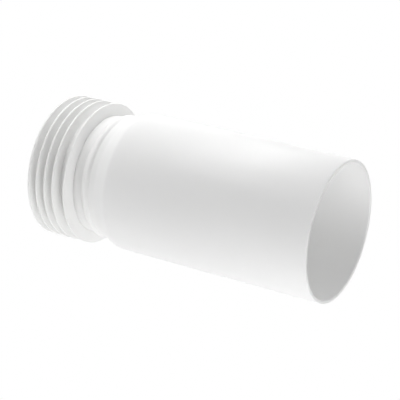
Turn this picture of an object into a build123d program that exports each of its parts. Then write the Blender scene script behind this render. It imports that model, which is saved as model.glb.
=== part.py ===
# Straight extension for a toilet outlet, in millimetres.
# A rigid moulded pipe has a plain open mouth at one end. At the other it narrows through a tapered
# shoulder, a waist and a rounded bead to a neck, a stop collar and a spigot. A soft seal with thin round
# fins is stretched over that spigot. The part stands on the spigot's rim, with its mouth up.
import os

from build123d import *

# Pipe: the plain tube and its mouth
overall_length = 250.0
tube_diameter = 110.0
tube_wall = 2.6
rim_round = 0.6

# Pipe: the tapered shoulder below the tube, then the waist, which narrows to a crease above the bead
shoulder_length = 12.1
shoulder_drop = 5.35
shoulder_blend = 8.0
waist_length = 5.4
waist_drop = 0.85
waist_round = 6.0
crease_round = 0.8

# Pipe: the rounded bead
bead_fall = 1.9
bead_rise = 1.4
bead_width = 2.1
bead_flank = 3.9
bead_round = 2.5

# Pipe: the neck below the bead, and the collar that stops the seal
neck_depth = 3.7
neck_round = 2.0
collar_fall = 4.3
collar_rise = 1.1
collar_width = 2.9
collar_round = 4.0

# Pipe: the spigot that carries the seal, with a catch at its end that keeps the seal on
seat_step = 3.0
catch_height = 1.2
catch_width = 2.5
catch_round = 0.8

# Pipe: the inside follows the outside at the thickness of the wall, each bend a little higher up
bore_lag = 1.0
bore_blend = 4.0

# Seal: a sleeve with thin fins, and a stouter end fin, the flange, that meets the collar and leans back
seal_clearance = 0.1
seal_end_play = 0.3
sleeve_thickness = 3.1
sleeve_round = 0.9
fin_count = 4
fin_pitch = 7.6
first_fin = 3.45
fin_stand = 2.3
fin_tip = 1.5
fin_root = 2.4
fin_round = 0.6
flange_gap = 10.65
flange_stand = 2.2
flange_lean = 1.0
flange_tip = 1.3
flange_root = 3.6
flange_round = 0.55

# Radii of the pipe, each taken from the tube's outside inwards
tube_radius = tube_diameter / 2
shoulder_radius = tube_radius - shoulder_drop
crease_radius = shoulder_radius - waist_drop
bead_radius = crease_radius + bead_rise
neck_radius = bead_radius - neck_depth
collar_radius = neck_radius + collar_rise
spigot_radius = collar_radius - seat_step
catch_radius = spigot_radius + catch_height

# Radii of the pipe's inside
mouth_radius = tube_radius - tube_wall
shoulder_bore = shoulder_radius - tube_wall
crease_bore = crease_radius - tube_wall
neck_bore = neck_radius - tube_wall
spigot_bore = spigot_radius - tube_wall

# Radii of the seal
sleeve_bore = spigot_radius + seal_clearance
sleeve_radius = sleeve_bore + sleeve_thickness
fin_radius = tube_radius + fin_stand
flange_radius = tube_radius + flange_stand

# Heights above the spigot's rim
sleeve_base = catch_width + seal_end_play
fin_heights = [sleeve_base + first_fin + index * fin_pitch for index in range(fin_count)]
flange_height = fin_heights[-1] + flange_gap
seat_height = flange_height + flange_lean + flange_root / 2
collar_top = seat_height + collar_width
neck_height = collar_top + collar_fall
bead_foot = neck_height + bead_flank
bead_top = bead_foot + bead_width
crease_height = bead_top + bead_fall
shoulder_foot = crease_height + waist_length
shoulder_top = shoulder_foot + shoulder_length


# Half section of the pipe as corners of radius and height, each with the round on that corner
pipe_section = [
    ((spigot_bore, 0), rim_round),
    ((catch_radius, 0), catch_round),
    ((catch_radius, catch_width), 0),
    ((spigot_radius, catch_width), 0),
    ((spigot_radius, seat_height), 0),
    ((collar_radius, seat_height), 0),
    ((collar_radius, collar_top), collar_round),
    ((neck_radius, neck_height), neck_round),
    ((bead_radius, bead_foot), bead_round),
    ((bead_radius, bead_top), bead_round),
    ((crease_radius, crease_height), crease_round),
    ((shoulder_radius, shoulder_foot), waist_round),
    ((tube_radius, shoulder_top), shoulder_blend),
    ((tube_radius, overall_length), rim_round),
    ((mouth_radius, overall_length), rim_round),
    ((mouth_radius, shoulder_top + bore_lag), bore_blend),
    ((shoulder_bore, shoulder_foot + bore_lag), bore_blend),
    ((crease_bore, bead_foot + bore_lag), bore_blend),
    ((neck_bore, neck_height + bore_lag), bore_blend),
    ((spigot_bore, seat_height + bore_lag), bore_blend),
]

with BuildPart() as pipe_body:
    with BuildSketch(Plane.XZ):
        with BuildLine():
            corners = [corner for corner, _ in pipe_section]
            rounds = [corner_round for _, corner_round in pipe_section]
            FilletPolyline(corners, radius=rounds, close=True)
        make_face()
    revolve(axis=Axis.Z)


# Half section of the seal, up its outside: the sleeve's foot, fins that thin to rounded tips, the flange
seal_section = [
    ((sleeve_bore, sleeve_base), 0),
    ((sleeve_radius, sleeve_base), sleeve_round),
]
for height in fin_heights:
    seal_section += [
        ((sleeve_radius, height - fin_root / 2), 0),
        ((fin_radius, height - fin_tip / 2), fin_round),
        ((fin_radius, height + fin_tip / 2), fin_round),
        ((sleeve_radius, height + fin_root / 2), 0),
    ]
seal_section += [
    ((sleeve_radius, seat_height - flange_root), 0),
    ((flange_radius, flange_height - flange_tip / 2), flange_round),
    ((flange_radius, flange_height + flange_tip / 2), flange_round),
    ((sleeve_radius, seat_height), 0),
    ((sleeve_bore, seat_height), 0),
]

with BuildPart() as fin_seal:
    with BuildSketch(Plane.XZ):
        with BuildLine():
            corners = [corner for corner, _ in seal_section]
            rounds = [corner_round for _, corner_round in seal_section]
            FilletPolyline(corners, radius=rounds, close=True)
        make_face()
    revolve(axis=Axis.Z)


pipe_body.part.label = "pipe_body"
fin_seal.part.label = "fin_seal"

os.makedirs("parts", exist_ok=True)
export_step(pipe_body.part, "parts/pipe_body.step")
export_step(fin_seal.part, "parts/fin_seal.step")
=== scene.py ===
# Looks of a straight toilet extension: a glossy white pipe with a soft finned seal on its spigot.
import bmesh
import bpy
import math
from mathutils import Matrix, Vector


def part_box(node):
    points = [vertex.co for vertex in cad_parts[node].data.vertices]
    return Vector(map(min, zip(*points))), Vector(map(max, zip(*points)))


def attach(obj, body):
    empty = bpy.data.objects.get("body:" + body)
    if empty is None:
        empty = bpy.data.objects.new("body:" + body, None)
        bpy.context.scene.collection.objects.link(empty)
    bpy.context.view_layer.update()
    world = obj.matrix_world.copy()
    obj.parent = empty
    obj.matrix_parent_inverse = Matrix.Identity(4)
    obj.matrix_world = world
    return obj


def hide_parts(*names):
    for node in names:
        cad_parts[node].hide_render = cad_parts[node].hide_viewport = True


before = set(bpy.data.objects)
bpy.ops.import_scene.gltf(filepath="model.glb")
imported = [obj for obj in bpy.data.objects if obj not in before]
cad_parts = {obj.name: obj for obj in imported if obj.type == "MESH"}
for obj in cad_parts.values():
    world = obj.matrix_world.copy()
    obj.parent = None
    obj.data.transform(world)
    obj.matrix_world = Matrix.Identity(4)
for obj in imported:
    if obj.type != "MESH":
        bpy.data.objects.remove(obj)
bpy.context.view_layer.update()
mm = 0.001
scene = bpy.context.scene


def linearColour(hexText):  # sRGB hex to the linear colour that the shaders take
    parts = [int(hexText[i:i + 2], 16) / 255 for i in (0, 2, 4)]
    return tuple(p / 12.92 if p <= 0.04045 else ((p + 0.055) / 1.055) ** 2.4 for p in parts) + (1.0,)


def addNode(tree, kind, settings=None, links=None):  # one node, its settings, and what feeds it
    node = tree.nodes.new(kind)
    for key, value in (settings or {}).items():
        if isinstance(key, str) and key in node.bl_rna.properties:
            setattr(node, key, value)
        else:
            node.inputs[key].default_value = value
    for key, socket in (links or {}).items():
        tree.links.new(socket, node.inputs[key])
    return node


def newMaterial(name):
    material = bpy.data.materials.new(name)
    material.use_nodes = True
    material.node_tree.nodes.clear()
    return material, material.node_tree


# A moulded plastic: faint clouds of two near colours, a shine that follows them, a fine ripple in the skin,
# and some light that comes through
def makePlastic(name, look):
    material, tree = newMaterial(name)
    place = addNode(tree, "ShaderNodeTexCoord").outputs["Object"]
    clouds = addNode(tree, "ShaderNodeTexNoise",
                     {"Scale": 1 / (look["cloudMm"] * mm), "Detail": look["cloudDetail"]},
                     {"Vector": place}).outputs["Fac"]
    tint = addNode(tree, "ShaderNodeMix",
                   {"data_type": "RGBA", 6: linearColour(look["colour"]), 7: linearColour(look["shade"])},
                   {0: clouds})
    shine = addNode(tree, "ShaderNodeMapRange",
                    {"To Min": look["roughness"][0], "To Max": look["roughness"][1]}, {"Value": clouds})
    ripple = addNode(tree, "ShaderNodeTexNoise",
                     {"Scale": 1 / (look["rippleMm"] * mm), "Detail": look["rippleDetail"]},
                     {"Vector": place}).outputs["Fac"]
    bump = addNode(tree, "ShaderNodeBump",
                   {"Strength": look["ripple"], "Distance": look["rippleDeepMm"] * mm}, {"Height": ripple})
    surface = addNode(tree, "ShaderNodeBsdfPrincipled",
                      {"IOR": look["ior"], "Subsurface Weight": look["through"],
                       "Subsurface Radius": (1, 1, 1), "Subsurface Scale": look["throughMm"] * mm},
                      {"Base Color": tint.outputs[2], "Roughness": shine.outputs[0],
                       "Normal": bump.outputs[0]})
    if "neckThrough" in look:
        height = addNode(tree, "ShaderNodeSeparateXYZ", None, {0: place}).outputs["Z"]
        through = addNode(tree, "ShaderNodeMapRange",
                          {"From Min": look["neckTopMm"] * mm, "From Max": look["tubeFootMm"] * mm,
                           "To Min": look["neckThrough"], "To Max": look["through"]}, {"Value": height})
        tree.links.new(through.outputs[0], surface.inputs["Subsurface Weight"])
    addNode(tree, "ShaderNodeOutputMaterial", None, {"Surface": surface.outputs[0]})
    return material


# Polypropylene, injection moulded: bright white, smooth and glossy, with a faint unevenness in its shine,
# and thin enough in the tube that light from behind brightens its inside
polypropylene = makePlastic("moulded polypropylene", {
    "colour": "F8F8F7",
    "shade": "F5F5F4",
    "cloudMm": 45.0,
    "cloudDetail": 2.0,
    "roughness": (0.3, 0.38),
    "rippleMm": 2.2,         # coarser than the real skin, so that it shows
    "rippleDetail": 1.0,
    "ripple": 0.02,
    "rippleDeepMm": 0.1,
    "ior": 1.49,
    "through": 0.9,
    "throughMm": 7.0,
    "neckThrough": 0.3,      # less at the neck, where light lost at the hidden seat would draw a dark line
    "neckTopMm": 58.0,
    "tubeFootMm": 78.0,
})

# Thermoplastic elastomer, moulded: a soft white rubber with a dull satin face, so it looks greyer
elastomer = makePlastic("thermoplastic elastomer", {
    "colour": "F8F8F7",
    "shade": "F5F5F4",
    "cloudMm": 18.0,
    "cloudDetail": 3.0,
    "roughness": (0.5, 0.62),
    "rippleMm": 0.9,         # grain of the mould, coarser than the real one, so that it shows
    "rippleDetail": 2.0,
    "ripple": 0.05,
    "rippleDeepMm": 0.1,
    "ior": 1.5,
    "through": 0.35,
    "throughMm": 5.0,
})
print("plastics ready")


def buildLatheTree():  # sweeps a half section round the axis, and stacks copies of a part that repeats
    tree = bpy.data.node_groups.new("lathedMoulding", "GeometryNodeTree")
    face = tree.interface
    face.new_socket("Half Section", in_out="INPUT", socket_type="NodeSocketGeometry")
    face.new_socket("Path Radius", in_out="INPUT", socket_type="NodeSocketFloat")
    face.new_socket("Segments", in_out="INPUT", socket_type="NodeSocketInt")
    face.new_socket("Round Points", in_out="INPUT", socket_type="NodeSocketInt")
    face.new_socket("Copies", in_out="INPUT", socket_type="NodeSocketInt")
    face.new_socket("Pitch", in_out="INPUT", socket_type="NodeSocketFloat")
    face.new_socket("Material", in_out="INPUT", socket_type="NodeSocketMaterial")
    face.new_socket("Moulding", in_out="OUTPUT", socket_type="NodeSocketGeometry")
    given = addNode(tree, "NodeGroupInput").outputs
    inwards = addNode(tree, "ShaderNodeMath", {"operation": "MULTIPLY", 1: -1.0}, {0: given["Path Radius"]})
    shift = addNode(tree, "ShaderNodeCombineXYZ", None, {"X": inwards.outputs[0]})
    flat = addNode(tree, "GeometryNodeTransform", {"Rotation": (math.pi / 2, 0, 0)},
                   {"Geometry": given["Half Section"], "Translation": shift.outputs[0]})
    cornerRound = addNode(tree, "GeometryNodeInputNamedAttribute",
                          {"data_type": "FLOAT", "Name": "cornerRound"})
    repeats = addNode(tree, "GeometryNodeInputNamedAttribute", {"data_type": "BOOLEAN", "Name": "repeats"})
    parted = addNode(tree, "GeometryNodeSeparateGeometry", {"domain": "POINT"},
                     {"Geometry": flat.outputs[0], "Selection": repeats.outputs["Attribute"]})
    circle = addNode(tree, "GeometryNodeCurvePrimitiveCircle", None,
                     {"Resolution": given["Segments"], "Radius": given["Path Radius"]})
    path = addNode(tree, "GeometryNodeSetCurveNormal", {"mode": "Z_UP"}, {"Curve": circle.outputs[0]})
    swept = []
    for half in ("Selection", "Inverted"):
        line = addNode(tree, "GeometryNodeMeshToCurve", None, {"Mesh": parted.outputs[half]})
        rounded = addNode(tree, "GeometryNodeFilletCurve", {"mode": "POLY"},
                          {"Curve": line.outputs[0], "Radius": cornerRound.outputs["Attribute"]})
        tree.links.new(given["Round Points"], rounded.inputs[1])
        swept.append(addNode(tree, "GeometryNodeCurveToMesh", None,
                             {"Curve": path.outputs[0], "Profile Curve": rounded.outputs[0]}))
    step = addNode(tree, "ShaderNodeCombineXYZ", None, {"Z": given["Pitch"]})
    stack = addNode(tree, "GeometryNodeMeshLine", None,
                    {"Count": given["Copies"], "Offset": step.outputs[0]})
    copies = addNode(tree, "GeometryNodeInstanceOnPoints", None,
                     {"Points": stack.outputs[0], "Instance": swept[0].outputs[0]})
    both = addNode(tree, "GeometryNodeJoinGeometry", None, {"Geometry": swept[1].outputs[0]})
    tree.links.new(copies.outputs[0], both.inputs["Geometry"])
    real = addNode(tree, "GeometryNodeRealizeInstances", None, {"Geometry": both.outputs[0]})
    welded = addNode(tree, "GeometryNodeMergeByDistance", {"Distance": 0.001 * mm},
                     {"Geometry": real.outputs[0]})
    smooth = addNode(tree, "GeometryNodeSetShadeSmooth", None, {"Geometry": welded.outputs[0]})
    dressed = addNode(tree, "GeometryNodeSetMaterial", None,
                      {"Geometry": smooth.outputs[0], "Material": given["Material"]})
    addNode(tree, "NodeGroupOutput", None, {"Moulding": dressed.outputs[0]})
    return tree


latheTree = buildLatheTree()
sharpFrom = math.radians(40)  # edges that bend more than this stay crisp


# Each outline is a list of corners (radius, height, round) in mm, and may be closed or stacked in copies
def lathe(name, outlines, settings):
    sketch = bpy.data.meshes.new(name + "Section")
    points, edges, rounds, repeated = [], [], [], []
    for outline in outlines:
        first = len(points)
        points += [(radius * mm, 0, height * mm) for radius, height, _ in outline["corners"]]
        rounds += [cornerRound * mm for _, _, cornerRound in outline["corners"]]
        repeated += [outline.get("repeats", False)] * len(outline["corners"])
        edges += [(i, i + 1) for i in range(first, len(points) - 1)]
        if outline.get("closed"):
            edges.append((len(points) - 1, first))
    sketch.from_pydata(points, edges, [])
    sketch.attributes.new("cornerRound", "FLOAT", "POINT").data.foreach_set("value", rounds)
    sketch.attributes.new("repeats", "BOOLEAN", "POINT").data.foreach_set("value", repeated)
    drawn = bpy.data.objects.new(name + "Section", sketch)
    scene.collection.objects.link(drawn)
    modifier = drawn.modifiers.new("lathe", "NODES")
    modifier.node_group = latheTree
    for item in latheTree.interface.items_tree:
        if item.in_out == "INPUT" and item.name in settings:
            modifier[item.identifier] = settings[item.name]
    mesh = bpy.data.meshes.new_from_object(drawn.evaluated_get(bpy.context.evaluated_depsgraph_get()))
    drawn.modifiers.remove(modifier)
    bpy.data.objects.remove(drawn)
    shell = bmesh.new()
    shell.from_mesh(mesh)
    bmesh.ops.recalc_face_normals(shell, faces=shell.faces)
    shell.to_mesh(mesh)
    shell.free()
    mesh.set_sharp_from_angle(angle=sharpFrom)
    mesh.name = name
    piece = bpy.data.objects.new(name, mesh)
    scene.collection.objects.link(piece)
    print(name, len(mesh.polygons), "faces")
    return piece


# Sizes of the pipe in millimetres, from the tube inwards and down to the spigot
pipeMoulding = {
    "tubeRadius": 55.0,
    "tubeWall": 2.6,
    "rimRound": 0.6,
    "shoulderLength": 12.1,
    "shoulderDrop": 5.35,
    "shoulderBlend": 8.0,
    "waistLength": 5.4,
    "waistDrop": 0.85,
    "waistRound": 6.0,
    "creaseRound": 0.8,
    "beadFall": 1.9,
    "beadRise": 1.4,
    "beadWidth": 2.1,
    "beadFlank": 3.9,
    "beadRound": 2.5,
    "neckDepth": 3.7,
    "neckRound": 2.0,
    "collarFall": 4.3,
    "collarRise": 1.1,
    "collarWidth": 2.9,
    "collarRound": 4.0,
    "seatStep": 3.0,
    "catchHeight": 1.2,
    "catchWidth": 2.5,
    "catchRound": 0.8,
    "boreLag": 1.0,
    "boreBlend": 4.0,
    "guard": 0.4,            # a loop this far from a rounded corner keeps a long wall evenly shaded
    "segments": 192,
    "roundPoints": 7,
}

# Sizes of the seal in millimetres: a sleeve on the spigot, thin fins, and the flange against the collar
finSeal = {
    "clearance": 0.1,
    "endPlay": 0.3,
    "sleeveThickness": 3.1,
    "sleeveRound": 0.9,
    "finCount": 4,
    "finPitch": 7.6,
    "firstFin": 3.45,
    "finStand": 2.3,
    "finTip": 1.5,
    "finRoot": 2.4,
    "finRound": 0.6,
    "rootRound": 0.8,
    "flangeGap": 10.65,
    "flangeStand": 2.2,
    "flangeLean": 1.0,
    "flangeTip": 1.3,
    "flangeRoot": 3.6,
    "flangeRound": 0.55,
    "segments": 192,
    "roundPoints": 5,
}

p = pipeMoulding
s = finSeal
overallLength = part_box("pipe_body")[1].z / mm

# Radii, each taken from the tube's outside inwards
mouthRadius = p["tubeRadius"] - p["tubeWall"]
shoulderRadius = p["tubeRadius"] - p["shoulderDrop"]
creaseRadius = shoulderRadius - p["waistDrop"]
beadRadius = creaseRadius + p["beadRise"]
neckRadius = beadRadius - p["neckDepth"]
collarRadius = neckRadius + p["collarRise"]
spigotRadius = collarRadius - p["seatStep"]
catchRadius = spigotRadius + p["catchHeight"]
shoulderBore = shoulderRadius - p["tubeWall"]
creaseBore = creaseRadius - p["tubeWall"]
neckBore = neckRadius - p["tubeWall"]
spigotBore = spigotRadius - p["tubeWall"]
sleeveBore = spigotRadius + s["clearance"]
sleeveRadius = sleeveBore + s["sleeveThickness"]
finRadius = p["tubeRadius"] + s["finStand"]
flangeRadius = p["tubeRadius"] + s["flangeStand"]

# Heights above the spigot's rim
sleeveBase = p["catchWidth"] + s["endPlay"]
firstFinHeight = sleeveBase + s["firstFin"]
flangeHeight = firstFinHeight + (s["finCount"] - 1) * s["finPitch"] + s["flangeGap"]
seatHeight = flangeHeight + s["flangeLean"] + s["flangeRoot"] / 2
collarTop = seatHeight + p["collarWidth"]
neckHeight = collarTop + p["collarFall"]
beadFoot = neckHeight + p["beadFlank"]
beadTop = beadFoot + p["beadWidth"]
creaseHeight = beadTop + p["beadFall"]
shoulderFoot = creaseHeight + p["waistLength"]
shoulderTop = shoulderFoot + p["shoulderLength"]

# Up the pipe's outside from its foot, over the rim, and down its inside
pipeOutline = [
    (spigotBore, 0, p["rimRound"]),
    (catchRadius, 0, p["catchRound"]),
    (catchRadius, p["catchWidth"], 0),
    (spigotRadius, p["catchWidth"], 0),
    (spigotRadius, seatHeight, 0),
    (collarRadius, seatHeight, 0),
    (collarRadius, collarTop, p["collarRound"]),
    (neckRadius, neckHeight, p["neckRound"]),
    (beadRadius, beadFoot, p["beadRound"]),
    (beadRadius, beadTop, p["beadRound"]),
    (creaseRadius, creaseHeight, p["creaseRound"]),
    (shoulderRadius, shoulderFoot, p["waistRound"]),
    (p["tubeRadius"], shoulderTop, p["shoulderBlend"]),
    (p["tubeRadius"], shoulderTop + p["shoulderBlend"] / 2, 0),
    (p["tubeRadius"], overallLength - p["rimRound"] - p["guard"], 0),
    (p["tubeRadius"], overallLength, p["rimRound"]),
    (mouthRadius, overallLength, p["rimRound"]),
    (mouthRadius, overallLength - p["rimRound"] - p["guard"], 0),
    (mouthRadius, shoulderTop + p["boreLag"] + p["boreBlend"], 0),
    (mouthRadius, shoulderTop + p["boreLag"], p["boreBlend"]),
    (shoulderBore, shoulderFoot + p["boreLag"], p["boreBlend"]),
    (creaseBore, beadFoot + p["boreLag"], p["boreBlend"]),
    (neckBore, neckHeight + p["boreLag"], p["boreBlend"]),
    (spigotBore, seatHeight + p["boreLag"], p["boreBlend"]),
    (spigotBore, p["rimRound"] + p["guard"], 0),
]
pipe = lathe("pipeMoulding", [{"corners": pipeOutline, "closed": True}],
             {"Path Radius": p["tubeRadius"] * mm, "Segments": p["segments"],
              "Round Points": p["roundPoints"], "Copies": 1, "Pitch": 0.0, "Material": polypropylene})

finFoot = s["finRoot"] / 2 + s["rootRound"]  # from the middle of a fin down to where its root round ends
finOutline = [
    (sleeveRadius, -finFoot, 0),
    (sleeveRadius, -s["finRoot"] / 2, s["rootRound"]),
    (finRadius, -s["finTip"] / 2, s["finRound"]),
    (finRadius, s["finTip"] / 2, s["finRound"]),
    (sleeveRadius, s["finRoot"] / 2, s["rootRound"]),
    (sleeveRadius, s["finPitch"] - finFoot, 0),
]
finOutline = [(radius, height + firstFinHeight, cornerRound) for radius, height, cornerRound in finOutline]

# From the first fin's foot down, up the bore, and over the flange to the last fin
sleeveOutline = [
    (sleeveRadius, firstFinHeight - finFoot, 0),
    (sleeveRadius, sleeveBase, s["sleeveRound"]),
    (sleeveBore, sleeveBase, 0),
    (sleeveBore, seatHeight, 0),
    (sleeveRadius, seatHeight, 0),
    (flangeRadius, flangeHeight + s["flangeTip"] / 2, s["flangeRound"]),
    (flangeRadius, flangeHeight - s["flangeTip"] / 2, s["flangeRound"]),
    (sleeveRadius, seatHeight - s["flangeRoot"], s["rootRound"]),
    (sleeveRadius, firstFinHeight + s["finCount"] * s["finPitch"] - finFoot, 0),
]
seal = lathe("finSeal", [{"corners": sleeveOutline}, {"corners": finOutline, "repeats": True}],
             {"Path Radius": sleeveRadius * mm, "Segments": s["segments"],
              "Round Points": s["roundPoints"], "Copies": s["finCount"], "Pitch": s["finPitch"] * mm,
              "Material": elastomer})

for piece, node in ((pipe, "pipe_body"), (seal, "fin_seal")):
    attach(piece, "root")
    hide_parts(node)
print("pieces in place")

# Studio: a white floor that is lit from within, large soft boxes, strips that stand on the floor, and short
# bars close beside the pipe, whose light falls off towards the mouth
studio = {
    "floorSide": 8.0,
    "floorGlow": 1.0,
    "room": 0.0,
    "shapes": {  # wide, tall, and away from the pipe, in metres
        "box": (1.0, 1.0, 1.4),
        "strip": (1.0, 0.16, 1.4),
        "bar": (0.3, 0.06, 0.3),
    },
    "lamps": [  # shape, azimuth, elevation, height of the middle in metres, watts
        ("box", 0, 30, 0.125, 7.5),
        ("box", -35, 60, 0.125, 8.1),
        ("box", -35, 30, 0.125, 1.1),
        ("box", 90, 60, 0.125, 3.4),
        ("box", 130, 30, 0.125, 3.4),
        ("box", 180, 30, 0.125, 2.9),
        ("strip", 50, 0, 0.08, 1.2),
        ("strip", 130, 0, 0.08, 2.8),
        ("bar", -150, 0, 0.04, 0.25),
        ("bar", 180, 0, 0.06, 0.2),
    ],
}


def makeFloor():  # dull black that glows white, so that no lamp shades it
    mesh = bpy.data.meshes.new("floor")
    half = studio["floorSide"] / 2
    corners = [(-half, -half, 0), (half, -half, 0), (half, half, 0), (-half, half, 0)]
    mesh.from_pydata(corners, [], [(0, 1, 2, 3)])
    material, tree = newMaterial("white floor")
    surface = addNode(tree, "ShaderNodeBsdfPrincipled",
                      {"Base Color": (0, 0, 0, 1), "Specular IOR Level": 0.0,
                       "Emission Color": (1, 1, 1, 1), "Emission Strength": studio["floorGlow"]})
    addNode(tree, "ShaderNodeOutputMaterial", None, {"Surface": surface.outputs[0]})
    mesh.materials.append(material)
    floor = bpy.data.objects.new("floor", mesh)
    scene.collection.objects.link(floor)


def addLamp(shape, azimuth, elevation, middle, watts):  # faces the pipe, angles in degrees
    name = f"{shape} {azimuth} {elevation}"
    wide, tall, away = studio["shapes"][shape]
    light = bpy.data.lights.new(name, "AREA")
    light.shape = "RECTANGLE"
    light.size = wide
    light.size_y = tall
    light.energy = watts
    lamp = bpy.data.objects.new(name, light)
    out, up = math.cos(math.radians(elevation)), math.sin(math.radians(elevation))
    towards = Vector((out * math.cos(math.radians(azimuth)), out * math.sin(math.radians(azimuth)), up))
    lamp.location = towards * away + Vector((0, 0, middle))
    lamp.rotation_euler = towards.to_track_quat("Z", "Y").to_euler()
    lamp.visible_camera = False
    scene.collection.objects.link(lamp)


world = bpy.data.worlds.new("room")
scene.world = world
world.use_nodes = True
world.node_tree.nodes.clear()
room = addNode(world.node_tree, "ShaderNodeBackground", {"Color": (1, 1, 1, 1), "Strength": studio["room"]})
addNode(world.node_tree, "ShaderNodeOutputWorld", None, {"Surface": room.outputs[0]})
makeFloor()
for lampSettings in studio["lamps"]:
    addLamp(*lampSettings)
print("studio lit")

# Camera fitted to the photograph: lens and sensor in millimetres, angles in degrees, place in metres
shot = {
    "lens": 135.6,
    "sensor": 36.0,
    "elevation": 27.854,
    "roll": 104.112,
    "place": (0.00226, -1.03476, 0.67684),
    "clipStart": 0.01,
}
cameraData = bpy.data.cameras.new("camera")
cameraData.lens = shot["lens"]
cameraData.sensor_width = shot["sensor"]
cameraData.clip_start = shot["clipStart"]
camera = bpy.data.objects.new("camera", cameraData)
scene.collection.objects.link(camera)
tilt = Matrix.Rotation(math.radians(90 - shot["elevation"]), 4, "X")
roll = Matrix.Rotation(math.radians(shot["roll"]), 4, "Z")
camera.matrix_world = Matrix.Translation(shot["place"]) @ tilt @ roll
scene.camera = camera
scene.view_settings.view_transform = "Standard"
print("camera ready")
